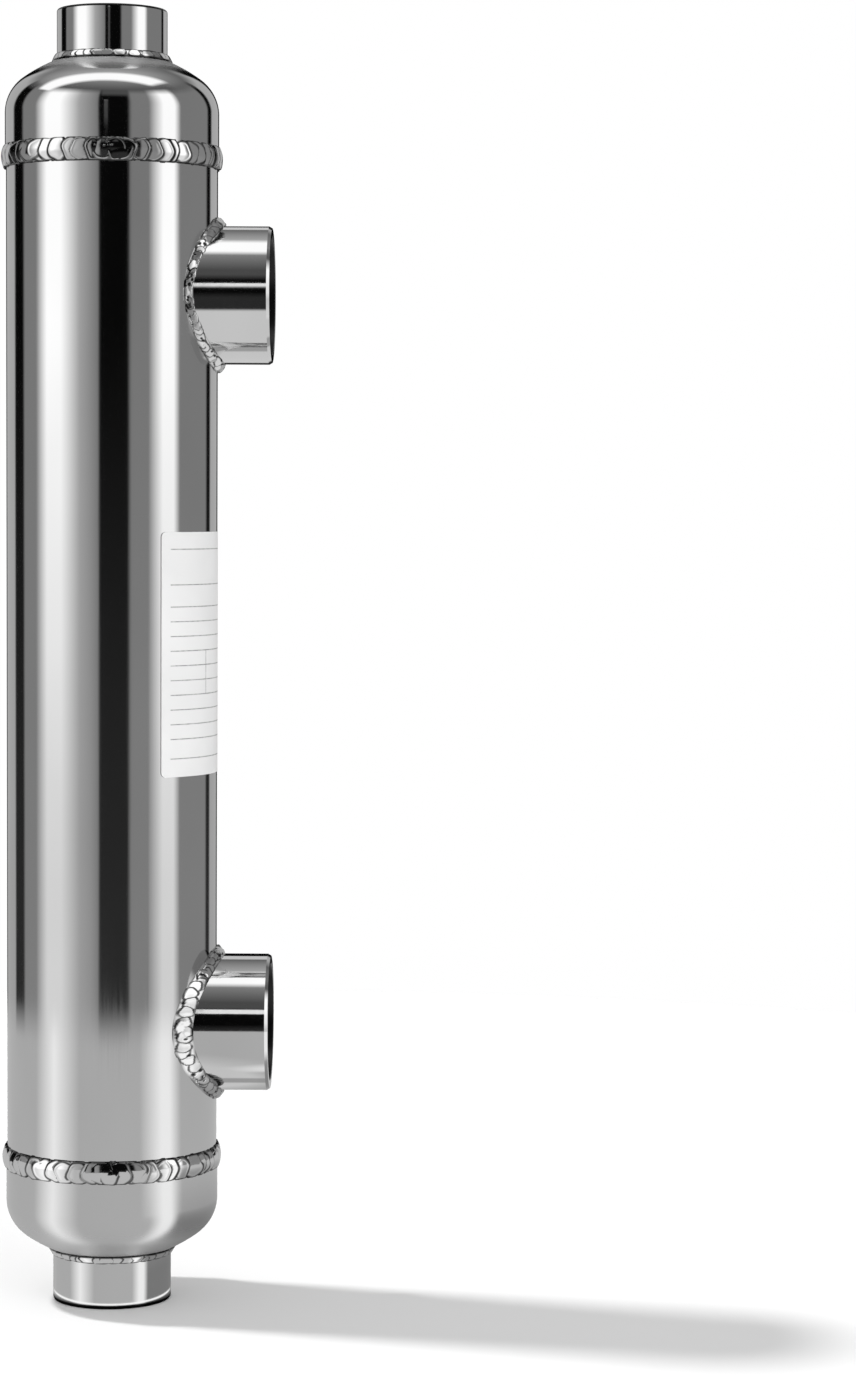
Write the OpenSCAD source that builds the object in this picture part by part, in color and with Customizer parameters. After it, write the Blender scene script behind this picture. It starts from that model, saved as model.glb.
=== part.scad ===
// Stainless steel shell-and-tube heat exchanger for a swimming pool, standing on its lower end port.
// Millimetres. The origin is the middle of the lower port's rim, Z runs up the shell's axis,
// and the two side ports face +X.

/* [Shell] */
// Outside diameter of the shell tube
shell_od = 60.3; // [57:0.1:70]
// Wall of the shell tube
shell_wall = 2; // [1.5:0.1:2.5]
// Length of the shell tube, from tube sheet to tube sheet
shell_len = 282.6; // [265:0.1:340]

/* [Heads] */
// How far the formed heads stand out beyond the shell tube
head_lip = 0.3; // [0:0.05:0.8]
// Wall of the formed heads
head_wall = 2; // [1.5:0.1:2.5]
// Straight skirt of a head, from its tube sheet to where the dome starts
skirt_len = 10.4; // [6:0.1:20]
// Rise of the dome, from the end of the skirt to its crown
dome_rise = 18; // [16:0.1:22]
// Radius of the knuckle between the skirt and the crown
knuckle_r = 12; // [9:0.1:14]

/* [Tube sheets] */
// Thickness of the tube sheet between the shell and each head
sheet_t = 4; // [3:0.1:6]

/* [Girth welds] */
// Width of the weld bead that runs round each head joint
girth_bead_w = 6.8; // [6:0.1:10]
// How far that bead stands out from the shell
girth_bead_proud = 1.45; // [0.9:0.05:2]

/* [End ports] */
// Wall of the upper end port, outside its thread
upper_port_wall = 2.5; // [2:0.1:4.5]
// Wall of the lower end port, outside its thread
lower_port_wall = 3.8; // [2:0.1:4.5]
// Distance from the start of the dome to the rim of an end port
end_port_reach = 29.5; // [27:0.1:40]
// Depth to which an end port is set through the dome
end_port_inset = 3.4; // [3:0.1:5]
// Root diameter of the pipe thread in the end ports
end_thread_root = 26.4; // [25:0.1:28]
// Height of that thread's ridges, which leave the flow bore between them
end_thread_ridge = 1.15; // [0.8:0.05:1.5]
// Plain bore left below the thread of an end port
end_thread_stop = 4; // [2:0.1:6]
// Leg of the fillet weld along an end port
end_leg_port = 1.4; // [1:0.1:3]
// Leg of that weld out along the dome
end_leg_dome = 1.1; // [0.6:0.1:2]

/* [Side ports] */
// Wall of the side ports, outside their thread
side_port_wall = 3.05; // [2.5:0.05:4]
// How far the side ports stand out from the shell
side_port_out = 15.7; // [14.5:0.1:30]
// Distance from the end of the shell tube to the axis of its side port
side_port_inset = 36.8; // [30:0.1:60]
// Root diameter of the pipe thread in the side ports
side_thread_root = 33.2; // [31:0.1:34.5]
// Height of that thread's ridges, which leave the flow bore between them
side_thread_ridge = 1.45; // [1:0.05:1.8]
// Plain bore left between the thread of a side port and the shell
side_thread_stop = 1.5; // [1:0.1:3]
// Leg of the saddle weld along a side port, above and below the port
saddle_leg_port = 2.6; // [1.5:0.1:3.5]
// Leg of the saddle weld along the shell, above and below the port
saddle_leg_shell = 2.8; // [1.5:0.1:4]
// How far both legs shrink beside the port, where the joint opens out
saddle_leg_less = 0.7; // [0:0.1:1]

/* [Port rims] */
// Bevel round the outer edge of every port's rim
rim_bevel = 0.5; // [0.4:0.1:1.5]

/* [Tube bundle] */
// Metal left between neighbouring tubes in the tube sheets
tube_ligament = 1.7; // [1.2:0.1:4]
// Wall of a tube
tube_wall = 0.8; // [0.5:0.1:1.2]
// Rings of tubes round the middle one
tube_rings = 2; // [1:1:2]
// Space between the outermost tubes and the shell's inner wall
bundle_gap = 1.1; // [0.8:0.1:2]
// How far a tube's end stands out of its tube sheet
tube_stick_out = 1; // [0:0.1:2]

/* [Baffles] */
// Number of baffle plates
baffle_count = 5; // [3:2:5]
// Space between the bore of a side port and the nearest baffle plate
baffle_port_gap = 9.3; // [4:0.1:30]
// Thickness of a baffle plate
baffle_t = 1.5; // [1:0.1:3]
// Running clearance round a baffle plate and round each tube in it
baffle_gap = 0.2; // [0.1:0.05:0.4]

/* [Label] */
// Width of the blank rating label, measured round the shell
label_w = 50; // [30:0.5:60]
// Height of the blank rating label
label_h = 69; // [40:0.5:100]
// Thickness of the label
label_t = 0.2; // [0.1:0.05:0.4]
// Film of glue between the label and the shell
label_glue = 0.1; // [0.05:0.05:0.3]
// Where the label's near edge lies, in degrees round from the front of the shell
label_from = 32.5; // [10:0.5:60]
// How far the label's middle sits above the middle of the shell
label_lift = 2.6; // [-10:0.1:10]

/* [Hidden] */
$fn = 256;
cut = 1;

shell_r = shell_od / 2;
bore_r = shell_r - shell_wall;
head_r = shell_r + head_lip;

// Heights, from the lower port's rim up
lower_dome_z = end_port_reach;
shell_z = lower_dome_z + skirt_len + sheet_t;
mid_z = shell_z + shell_len / 2;
upper_dome_z = 2 * mid_z - lower_dome_z;
side_port_heights = [shell_z + shell_len - side_port_inset, shell_z + side_port_inset];

// The dome: a knuckle arc that runs smoothly into a crown arc
knuckle_x = head_r - knuckle_r;
crown_r = (head_r ^ 2 + dome_rise ^ 2 - 2 * head_r * knuckle_r) / (2 * (dome_rise - knuckle_r));
crown_z = dome_rise - crown_r;
crown_angle = atan2(-crown_z, knuckle_x);
function dome_height(r) = crown_z + sqrt(crown_r ^ 2 - r ^ 2);

// Ports
upper_port_od = end_thread_root + 2 * upper_port_wall;
lower_port_od = end_thread_root + 2 * lower_port_wall;
end_bore = end_thread_root - 2 * end_thread_ridge;
side_port_od = side_thread_root + 2 * side_port_wall;
side_bore = side_thread_root - 2 * side_thread_ridge;
side_port_x = shell_r + side_port_out;

// Depth to which the toes of a fillet weld run into the metal before it is cut back to the surface
weld_sunk = 0.1;
girth_bead_r = (girth_bead_w ^ 2 / 4 + girth_bead_proud ^ 2) / (2 * girth_bead_proud);

// Tubes on a triangular pitch, row by row, sized to fill the shell
tube_pitch = (bore_r - bundle_gap + tube_ligament / 2) / (tube_rings + 0.5);
tube_od = tube_pitch - tube_ligament;
row_height = tube_pitch * sin(60);
tube_spots = [
    for (row = [-tube_rings : tube_rings], i = [0 : 2 * tube_rings - abs(row)])
        [(i - tube_rings + abs(row) / 2) * tube_pitch, row * row_height]
];
tube_z = shell_z - sheet_t - tube_stick_out;
tube_len = shell_len + 2 * (sheet_t + tube_stick_out);
baffle_span = shell_len - 2 * (side_port_inset + side_bore / 2 + baffle_port_gap);
baffle_window_y = (tube_rings - 0.5) * row_height;

// The saddle weld is swept round the port: sections all round, points across the bead's face
saddle_sections = 96;
saddle_face_points = 6;
saddle_bulge = 0.5;
saddle_root = 0.8;

// Places: an end is drawn with its dome starting at z = 0 and its port pointing up

module at_upper_end() {
    translate([0, 0, upper_dome_z]) children();
}

module at_lower_end() {
    translate([0, 0, lower_dome_z]) mirror([0, 0, 1]) children();
}

module at_side_port(height) {
    translate([0, 0, height]) rotate([0, 90, 0]) children();
}

// Shell tube with a flow hole for each side port

module shell() {
    color("silver") difference() {
        translate([0, 0, shell_z]) cylinder(r = shell_r, h = shell_len);
        translate([0, 0, shell_z - cut]) cylinder(r = bore_r, h = shell_len + 2 * cut);
        for (height = side_port_heights)
            at_side_port(height) cylinder(d = side_bore, h = side_port_x);
    }
}

// Formed head: straight skirt, knuckle and crown, with a hole for its port

module wall_arc(centre, r, from, to) {
    translate(centre) intersection() {
        difference() {
            circle(r = r);
            circle(r = r - head_wall);
        }
        polygon([[0, 0], 2 * r * [cos(from), sin(from)], 2 * r * [cos(to), sin(to)]]);
    }
}

module head_section() {
    translate([head_r - head_wall, -skirt_len]) square([head_wall, skirt_len]);
    wall_arc([knuckle_x, 0], knuckle_r, 0, crown_angle);
    wall_arc([0, crown_z], crown_r, crown_angle, 90);
}

module head(port_od) {
    color("silver") difference() {
        rotate_extrude() head_section();
        cylinder(d = port_od, h = dome_rise + cut);
    }
}

// Tube sheet: a drilled disc between the shell tube and the head

module tube_sheet() {
    color("gainsboro") translate([0, 0, -skirt_len - sheet_t]) difference() {
        cylinder(r = shell_r, h = sheet_t);
        for (spot = tube_spots)
            translate([spot.x, spot.y, -cut]) cylinder(d = tube_od, h = sheet_t + 2 * cut);
    }
}

// Girth weld: a rounded bead seated on the shell, the tube sheet's edge and the head

module girth_weld() {
    color("lightgray") rotate_extrude() difference() {
        translate([shell_r + girth_bead_proud - girth_bead_r, -skirt_len - sheet_t / 2])
            circle(r = girth_bead_r);
        translate([0, -skirt_len - sheet_t - girth_bead_w])
            square([shell_r, 2 * girth_bead_w + sheet_t]);
        translate([0, -skirt_len]) square([head_r, girth_bead_w]);
    }
}

// End port: a tapped socket set through the dome

module end_port(od) {
    foot = dome_height(od / 2) - end_port_inset;
    thread_foot = foot + end_thread_stop;
    color("silver") rotate_extrude() polygon([
        [end_bore / 2, foot],
        [od / 2, foot],
        [od / 2, end_port_reach - rim_bevel],
        [od / 2 - rim_bevel, end_port_reach],
        [end_thread_root / 2, end_port_reach],
        [end_thread_root / 2, thread_foot],
        [end_bore / 2, thread_foot]
    ]);
}

// End port weld: a fillet in the corner between the port and the dome

module end_port_weld(od) {
    port_r = od / 2;
    toe_r = port_r + end_leg_dome;
    color("lightgray") rotate_extrude() difference() {
        polygon([
            [port_r, dome_height(toe_r) - weld_sunk],
            [toe_r, dome_height(toe_r) - weld_sunk],
            [port_r, dome_height(port_r) + end_leg_port]
        ]);
        translate([0, crown_z]) circle(r = crown_r);
    }
}

// Side port: a tapped socket whose foot is cut to the round of the shell

module side_port(height) {
    od = side_port_od;
    thread_foot = shell_r + side_thread_stop;
    color("silver") difference() {
        at_side_port(height) rotate_extrude() polygon([
            [side_bore / 2, 0],
            [od / 2, 0],
            [od / 2, side_port_x - rim_bevel],
            [od / 2 - rim_bevel, side_port_x],
            [side_thread_root / 2, side_port_x],
            [side_thread_root / 2, thread_foot],
            [side_bore / 2, thread_foot]
        ]);
        translate([0, 0, height - od]) cylinder(r = shell_r, h = 2 * od);
    }
}

// Saddle weld: a fillet that follows the curve where a side port meets the shell.
// The face of the bead bulges between a toe on the port and a toe on the shell, and the root
// lies inside both, so cutting them away leaves the bead seated on their surfaces.

function on_shell(radius, angle, sunk) =
    [sqrt((shell_r - sunk) ^ 2 - (radius * sin(angle)) ^ 2), radius * sin(angle), radius * cos(angle)];

function saddle_section(angle) =
    let (
        port_r = side_port_od / 2,
        out = [1, 0, 0],
        away = [0, sin(angle), cos(angle)],
        less = saddle_leg_less * sin(angle) ^ 2,
        corner = on_shell(port_r, angle, 0),
        port_toe = corner + (saddle_leg_port - less) * out - weld_sunk * away,
        shell_toe = on_shell(port_r + saddle_leg_shell - less, angle, weld_sunk),
        swell = saddle_bulge * (out + away) / norm(out + away)
    )
    concat(
        [corner - saddle_root * (out + away), port_toe - saddle_root * away],
        [for (i = [0 : saddle_face_points - 1])
            let (t = i / (saddle_face_points - 1))
            port_toe * (1 - t) + shell_toe * t + swell * 4 * t * (1 - t)],
        [shell_toe - saddle_root * out]
    );

module saddle_weld(height) {
    n = saddle_face_points + 3;
    points = [for (k = [0 : saddle_sections - 1]) each saddle_section(k * 360 / saddle_sections)];
    faces = [
        for (k = [0 : saddle_sections - 1], i = [0 : n - 1])
            let (a = k * n, b = ((k + 1) % saddle_sections) * n, j = (i + 1) % n)
            each [[a + i, b + i, a + j], [b + i, b + j, a + j]]
    ];
    color("lightgray") difference() {
        translate([0, 0, height]) polyhedron(points, faces);
        translate([0, 0, height - side_port_od]) cylinder(r = shell_r, h = 2 * side_port_od);
        at_side_port(height) cylinder(d = side_port_od, h = side_port_x);
    }
}

// Tube bundle

module tube(spot) {
    color("gainsboro") translate([spot.x, spot.y, tube_z]) difference() {
        cylinder(d = tube_od, h = tube_len);
        translate([0, 0, -cut]) cylinder(d = tube_od - 2 * tube_wall, h = tube_len + 2 * cut);
    }
}

// Baffle plate: a drilled disc with a flow window cut off one side, turned over at each level

module baffle(i) {
    step = (i - 1) / (baffle_count - 1) - 0.5;
    height = mid_z + step * baffle_span - baffle_t / 2;
    color("gainsboro") translate([0, 0, height]) mirror([0, i % 2, 0]) difference() {
        cylinder(r = bore_r - baffle_gap, h = baffle_t);
        for (spot = tube_spots)
            if (spot.y < baffle_window_y)
                translate([spot.x, spot.y, -cut])
                    cylinder(d = tube_od + 2 * baffle_gap, h = baffle_t + 2 * cut);
        translate([-shell_r, baffle_window_y, -cut]) cube([shell_od, shell_r, baffle_t + 2 * cut]);
    }
}

// Blank rating label wrapped round the shell

module rating_label() {
    color("white") translate([0, 0, mid_z + label_lift - label_h / 2])
        rotate([0, 0, label_from - 90])
            rotate_extrude(angle = label_w / shell_r * 180 / PI)
                translate([shell_r + label_glue, 0]) square([label_t, label_h]);
}

shell();
at_upper_end() head(upper_port_od);  // upper_head
at_lower_end() head(lower_port_od);  // lower_head
at_upper_end() tube_sheet();  // upper_tube_sheet
at_lower_end() tube_sheet();  // lower_tube_sheet
at_upper_end() girth_weld();  // upper_girth_weld
at_lower_end() girth_weld();  // lower_girth_weld
at_upper_end() end_port(upper_port_od);  // upper_end_port
at_lower_end() end_port(lower_port_od);  // lower_end_port
at_upper_end() end_port_weld(upper_port_od);  // upper_end_port_weld
at_lower_end() end_port_weld(lower_port_od);  // lower_end_port_weld
side_port(side_port_heights[0]);  // upper_side_port
side_port(side_port_heights[1]);  // lower_side_port
saddle_weld(side_port_heights[0]);  // upper_saddle_weld
saddle_weld(side_port_heights[1]);  // lower_saddle_weld
rating_label();
for (i = [1 : baffle_count])
    baffle(i);
for (i = [1 : len(tube_spots)])
    tube(tube_spots[i - 1]);
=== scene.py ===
# %% [markdown]
# # A polished pool heat exchanger, dressed in Blender
# The solid model gives every real size. This lesson loads it as a fixed frame, then makes the parts that
# a mirror finish would give away: smooth turned metal, rippled weld beads, cut threads and a vinyl label.
# Everything is in metres and in the model's own frame: Z up the shell, side ports towards +X.

# %% Load the frame
import math
import random

import bmesh
import bpy
from mathutils import Matrix, Vector


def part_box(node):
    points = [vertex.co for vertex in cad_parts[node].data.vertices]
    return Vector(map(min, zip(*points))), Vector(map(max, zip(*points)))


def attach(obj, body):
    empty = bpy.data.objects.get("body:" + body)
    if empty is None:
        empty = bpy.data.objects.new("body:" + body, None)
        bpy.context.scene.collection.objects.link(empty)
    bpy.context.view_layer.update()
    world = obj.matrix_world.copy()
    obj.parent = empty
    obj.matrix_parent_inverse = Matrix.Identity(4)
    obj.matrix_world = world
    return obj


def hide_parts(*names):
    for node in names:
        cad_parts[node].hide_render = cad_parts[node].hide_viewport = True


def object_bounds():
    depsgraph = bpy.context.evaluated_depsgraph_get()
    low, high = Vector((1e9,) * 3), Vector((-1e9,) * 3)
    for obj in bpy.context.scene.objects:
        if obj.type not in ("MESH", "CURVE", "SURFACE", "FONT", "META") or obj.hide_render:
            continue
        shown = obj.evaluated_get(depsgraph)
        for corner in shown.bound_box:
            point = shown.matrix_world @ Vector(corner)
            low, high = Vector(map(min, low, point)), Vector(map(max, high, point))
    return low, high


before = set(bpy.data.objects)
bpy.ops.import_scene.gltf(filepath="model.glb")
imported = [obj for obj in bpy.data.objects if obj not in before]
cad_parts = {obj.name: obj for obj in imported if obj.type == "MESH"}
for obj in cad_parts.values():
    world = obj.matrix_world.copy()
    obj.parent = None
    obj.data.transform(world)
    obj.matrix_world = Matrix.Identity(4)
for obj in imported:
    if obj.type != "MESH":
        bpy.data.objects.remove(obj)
cad_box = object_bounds()
scene = bpy.context.scene
scene.view_settings.view_transform = "Standard"
MM = 0.001
print("solid model box:", [round(c, 4) for corner in cad_box for c in corner])

# %% [markdown]
# ## The camera
# The photograph was taken from about a metre away, a little to the right of the shell and below its middle,
# with a long lens. The camera could be aimed by eye, but the curves of the weld rings and port rims fix its
# height, tilt and distance, so those measured values are used. The sensor spans the tall side of the image.

# %% Camera
IMAGE_W, IMAGE_H = 856, 1394
FOCAL_PX = 3543.0
CAMERA_AT = Vector((0.0909, -1.0183, 0.2329))
CAMERA_TILT = math.radians(3.254)
CAMERA_ROLL = math.radians(0.296)
CAMERA_SWING = math.radians(0.365)

lens = bpy.data.cameras.new("photo_camera")
lens.sensor_width = 36.0
lens.lens = 36.0 * FOCAL_PX / IMAGE_H
camera = bpy.data.objects.new("photo_camera", lens)
scene.collection.objects.link(camera)
camera.matrix_world = (
    Matrix.Rotation(CAMERA_SWING, 4, "Z")
    @ Matrix.Translation(CAMERA_AT)
    @ Matrix.Rotation(math.pi / 2 - CAMERA_TILT, 4, "X")
    @ Matrix.Rotation(CAMERA_ROLL, 4, "Z")
)
scene.camera = camera
print("camera at", [round(c, 3) for c in camera.matrix_world.translation], "lens", round(lens.lens, 1), "mm")

# %% [markdown]
# ## Node helpers
# Materials here are networks of nodes. A few short helpers keep each network readable: one adds a node and
# sets its inputs, where an input may be a number or another node's output.

# %% Node helpers


def add_node(tree, kind, inputs=None, **settings):
    node = tree.nodes.new(kind)
    for key, value in settings.items():
        setattr(node, key, value)
    for key, value in (inputs or {}).items():
        if isinstance(value, bpy.types.NodeSocket):
            tree.links.new(value, node.inputs[key])
        else:
            node.inputs[key].default_value = value
    return node


def math_node(tree, operation, a, b=0.0, clamp=False):
    return add_node(tree, "ShaderNodeMath", {0: a, 1: b}, operation=operation, use_clamp=clamp).outputs[0]


def ramp_node(tree, factor, stops, interpolation="LINEAR"):
    node = add_node(tree, "ShaderNodeValToRGB", {"Fac": factor})
    node.color_ramp.interpolation = interpolation
    while len(node.color_ramp.elements) < len(stops):
        node.color_ramp.elements.new(0.5)
    for element, (place, value) in zip(node.color_ramp.elements, stops):
        element.position = place
        element.color = (value, value, value, 1.0)
    return node.outputs["Color"]


def between(tree, value, low, high, to_low, to_high):
    node = add_node(tree, "ShaderNodeMapRange", {"Value": value, "From Min": low, "From Max": high,
                                                 "To Min": to_low, "To Max": to_high})
    return node.outputs["Result"]


def mix_node(tree, factor, a, b):
    return add_node(tree, "ShaderNodeMix", {0: factor, 2: a, 3: b}).outputs[0]


def inside_band(tree, value, low, high, soft):
    """1 where the value lies between low and high, with soft edges."""
    off = math_node(tree, "ABSOLUTE", math_node(tree, "SUBTRACT", value, (low + high) / 2))
    return between(tree, off, (high - low) / 2 - soft, (high - low) / 2 + soft, 1.0, 0.0)


def fresh_material(name):
    material = bpy.data.materials.new(name)
    material.use_nodes = True
    tree = material.node_tree
    shader = tree.nodes["Principled BSDF"]
    return material, tree, shader


def stretched_noise(tree, stretch, scale, detail=4.0):
    place = add_node(tree, "ShaderNodeTexCoord").outputs["Object"]
    mapped = add_node(tree, "ShaderNodeMapping", {"Vector": place, "Scale": stretch}).outputs["Vector"]
    noise = add_node(tree, "ShaderNodeTexNoise", {"Vector": mapped, "Scale": scale, "Detail": detail})
    return noise.outputs["Fac"]


print("helpers ready")

# %% [markdown]
# ## Polished steel
# The shell, heads and ports are buffed stainless steel. A flat grey would look like paint: real buffing
# leaves hair-fine lines along the shell and soft patches where the wheel pressed harder. Noise that is
# squeezed one way makes the lines, and a broad noise makes the patches; both only vary the roughness a
# little, so the mirror stays a mirror. Close round the end ports the wheel cannot reach, so there the heads
# turn dull: the distance from the axis blends in a higher roughness.

# %% Polished steel


def steel(name, tone, rough_low, rough_high, stretch, line_scale, line_depth, crease_shade="", dull=None):
    material, tree, shader = fresh_material(name)
    lines = stretched_noise(tree, stretch, line_scale)
    patches = stretched_noise(tree, (1.0, 1.0, 0.5), 38.0, 2.0)
    grain = math_node(tree, "ADD", math_node(tree, "MULTIPLY", lines, 0.6), math_node(tree, "MULTIPLY", patches, 0.4))
    rough = between(tree, grain, 0.35, 0.65, rough_low, rough_high)
    shade = between(tree, patches, 0.3, 0.7, tone * 0.97, tone * 1.03)
    if dull:
        place = add_node(tree, "ShaderNodeTexCoord").outputs["Object"]
        level = add_node(tree, "ShaderNodeVectorMath", {0: place, 1: (1.0, 1.0, 0.0)}, operation="MULTIPLY").outputs[0]
        away = add_node(tree, "ShaderNodeVectorMath", {0: level}, operation="LENGTH").outputs["Value"]
        rough = mix_node(tree, between(tree, away, dull[0], dull[1], 1.0, 0.0), rough, dull[2])
    # Painted shade: a value stored on the mesh darkens the colour in creases, along toes and in pits.
    if crease_shade:
        depth = add_node(tree, "ShaderNodeAttribute", attribute_name=crease_shade).outputs["Fac"]
        shade = mix_node(tree, depth, shade, 0.03)
    colour = add_node(tree, "ShaderNodeCombineColor", {"Red": shade, "Green": shade, "Blue": shade}).outputs["Color"]
    bump = add_node(tree, "ShaderNodeBump", {"Height": lines, "Strength": line_depth, "Distance": 0.00003})
    tree.links.new(colour, shader.inputs["Base Color"])
    tree.links.new(rough, shader.inputs["Roughness"])
    tree.links.new(bump.outputs["Normal"], shader.inputs["Normal"])
    shader.inputs["Metallic"].default_value = 1.0
    return material


shell_polish = steel("shell_polish", 0.70, 0.045, 0.085, (1.0, 1.0, 0.02), 2600.0, 0.06)
turned_polish = steel("turned_polish", 0.70, 0.045, 0.085, (1.0, 1.0, 1.0), 900.0, 0.04)
head_polish = {
    "upper": steel("upper_head_polish", 0.70, 0.045, 0.085, (1.0, 1.0, 1.0), 900.0, 0.04, "", (0.0208, 0.0245, 0.46)),
    "lower": steel("lower_head_polish", 0.70, 0.045, 0.085, (1.0, 1.0, 1.0), 900.0, 0.04, "", (0.0262, 0.0310, 0.50)),
}
print("made", shell_polish.name, turned_polish.name, [material.name for material in head_polish.values()])

# %% [markdown]
# ## Other metals
# Weld metal froze as it was laid, so it is bright but not buffed: rougher, with a fine skin. Its colour carries
# painted shade in the creases between its ripples, along its toes and in its pits, stored as a value on the
# bead's own vertices. The drawn tubes and drilled plates inside are satin, and a little darker. Threads are dull
# as cut, and their dark tone is partly that and partly painted shade; bores are near black, painted shade.

# %% Weld, plate and tube metal
bead_metal = steel("bead_metal", 0.80, 0.04, 0.09, (1.0, 1.0, 1.0), 700.0, 0.3, "crease_shade")
plate_metal = steel("plate_metal", 0.52, 0.28, 0.45, (1.0, 0.06, 1.0), 1800.0, 0.35)
tube_metal = steel("tube_metal", 0.56, 0.22, 0.38, (1.0, 1.0, 0.03), 2400.0, 0.30)
# Painted shade: threads are dull as cut and darker still for the port's dark inside; bores and end port rims near
# black.
thread_dull_and_shade = steel("thread_dull_and_shade", 0.18, 0.22, 0.38, (1.0, 1.0, 1.0), 2000.0, 0.20)
painted_shade_metal = steel("painted_shade_metal", 0.03, 0.25, 0.40, (1.0, 1.0, 1.0), 2000.0, 0.20)
for material in (bead_metal, plate_metal, tube_metal, thread_dull_and_shade, painted_shade_metal):
    print("made", material.name)

# %% [markdown]
# ## Turning a piece
# Most of this object is round, so most pieces are turned: a half outline is drawn as vertices, and the spin
# operator sweeps it about an axis. A full spin with use_merge closes the seam. The result is then shaded
# smooth, except where two faces meet at a sharp angle, as at a port's rim.

# %% Turning helpers
STEPS = 192
Z_AXIS = Vector((0, 0, 1))
X_AXIS = Vector((1, 0, 0))


def turned(outline, centre, axis, steps=STEPS):
    bm = bmesh.new()
    verts = [bm.verts.new(point) for point in outline]
    edges = [bm.edges.new(pair) for pair in zip(verts, verts[1:] + verts[:1])]
    bmesh.ops.spin(bm, geom=verts + edges, cent=centre, axis=axis, angle=2 * math.pi, steps=steps,
                   use_merge=True, use_duplicate=False)
    bmesh.ops.remove_doubles(bm, verts=bm.verts[:], dist=1e-7)
    bmesh.ops.recalc_face_normals(bm, faces=bm.faces[:])
    return bm


def finish_piece(name, bm, material, nodes=(), crease=35.0, inner=None):
    mesh = bpy.data.meshes.new(name)
    bm.to_mesh(mesh)
    bm.free()
    mesh.materials.append(material)
    if inner:
        mesh.materials.append(inner)
    mesh.shade_smooth()
    mesh.set_sharp_from_angle(angle=math.radians(crease))
    piece = bpy.data.objects.new(name, mesh)
    scene.collection.objects.link(piece)
    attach(piece, "root")
    if nodes:
        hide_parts(*nodes)
    print(name, len(mesh.vertices), "vertices")
    return piece


def ring_edges(bm, centre, axis, radius, along):
    """Edges that run round the axis at this radius and this distance along it."""
    found = []
    for edge in bm.edges:
        on_ring = True
        for vert in edge.verts:
            offset = vert.co - centre
            distance = offset.dot(axis)
            away = (offset - axis * distance).length
            on_ring = on_ring and abs(distance - along) < 1e-6 and abs(away - radius) < 1e-6
        if on_ring:
            found.append(edge)
    return found


def soften_ring(bm, centre, axis, radius, along, width, segments=4):
    edges = ring_edges(bm, centre, axis, radius, along)
    bmesh.ops.bevel(bm, geom=edges, offset=width, offset_type="OFFSET", affect="EDGES", segments=segments,
                    profile=0.5, material=-1)


def paint_bore_shade(bm, centre, axis, radius):
    """Give the faces within this radius of the axis the second material, the bore's painted shade."""
    for face in bm.faces:
        offset = face.calc_center_median() - centre
        if (offset - axis * offset.dot(axis)).length < radius:
            face.material_index = 1


print("turning helpers ready")

# %% [markdown]
# ## The shell tube
# A length of thin pipe with a flow hole behind each side port. Turning gives the tube; each hole is cut with
# the Boolean modifier, whose result is then kept as the piece's own mesh. Extra rings near the ports keep
# the cut's long faces small, so the mirror finish stays clean round them.

# %% Shell sizes
shell_low, shell_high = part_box("shell")
SHELL_R = shell_high.x
SHELL_WALL = 2.0 * MM
SHELL_BORE = SHELL_R - SHELL_WALL
side_heights = [sum(c.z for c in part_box(node)) / 2 for node in ("upper_side_port", "lower_side_port")]
SIDE_BORE = 15.15 * MM
print("shell radius", round(SHELL_R, 5), "side ports at", [round(z, 4) for z in side_heights])

# %% Shell tube


def shell_rows():
    rows = {shell_low.z, shell_high.z}
    for height in side_heights:
        rows.update(height + step * 3 * MM for step in range(-9, 10))
    return sorted(z for z in rows if shell_low.z <= z <= shell_high.z)


def cut_holes(bm):
    blank = bpy.data.meshes.new("shell_blank")
    bm.to_mesh(blank)
    bm.free()
    body = bpy.data.objects.new("shell_blank", blank)
    scene.collection.objects.link(body)
    cutter_bm = bmesh.new()
    for height in side_heights:
        place = Matrix.Translation((SHELL_R, 0, height)) @ Matrix.Rotation(math.pi / 2, 4, "Y")
        bmesh.ops.create_cone(cutter_bm, cap_ends=True, segments=128, radius1=SIDE_BORE, radius2=SIDE_BORE,
                              depth=2 * SHELL_BORE * 0.7, matrix=place)
    cutter_mesh = bpy.data.meshes.new("hole_cutter")
    cutter_bm.to_mesh(cutter_mesh)
    cutter_bm.free()
    cutter = bpy.data.objects.new("hole_cutter", cutter_mesh)
    scene.collection.objects.link(cutter)
    hole = body.modifiers.new("flow_holes", "BOOLEAN")
    hole.operation = "DIFFERENCE"
    hole.solver = "EXACT"
    hole.object = cutter
    bpy.context.view_layer.update()
    drilled = bmesh.new()
    drilled.from_object(body, bpy.context.evaluated_depsgraph_get())
    for helper in (body, cutter):
        bpy.data.objects.remove(helper)
    return drilled


outer = [(SHELL_R, 0, z) for z in shell_rows()]
inner = [(SHELL_BORE, 0, z) for z in reversed(shell_rows())]
shell_piece = finish_piece("polished_shell", cut_holes(turned(outer + inner, (0, 0, 0), Z_AXIS)),
                           shell_polish, ["shell"])

# %% [markdown]
# ## The formed heads
# Each end is a pressed cap: a short straight skirt, a tight knuckle and a shallow crown with a hole for the
# port. The outline is two arcs that share a tangent, repeated 2 mm further in for the inner wall.

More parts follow.
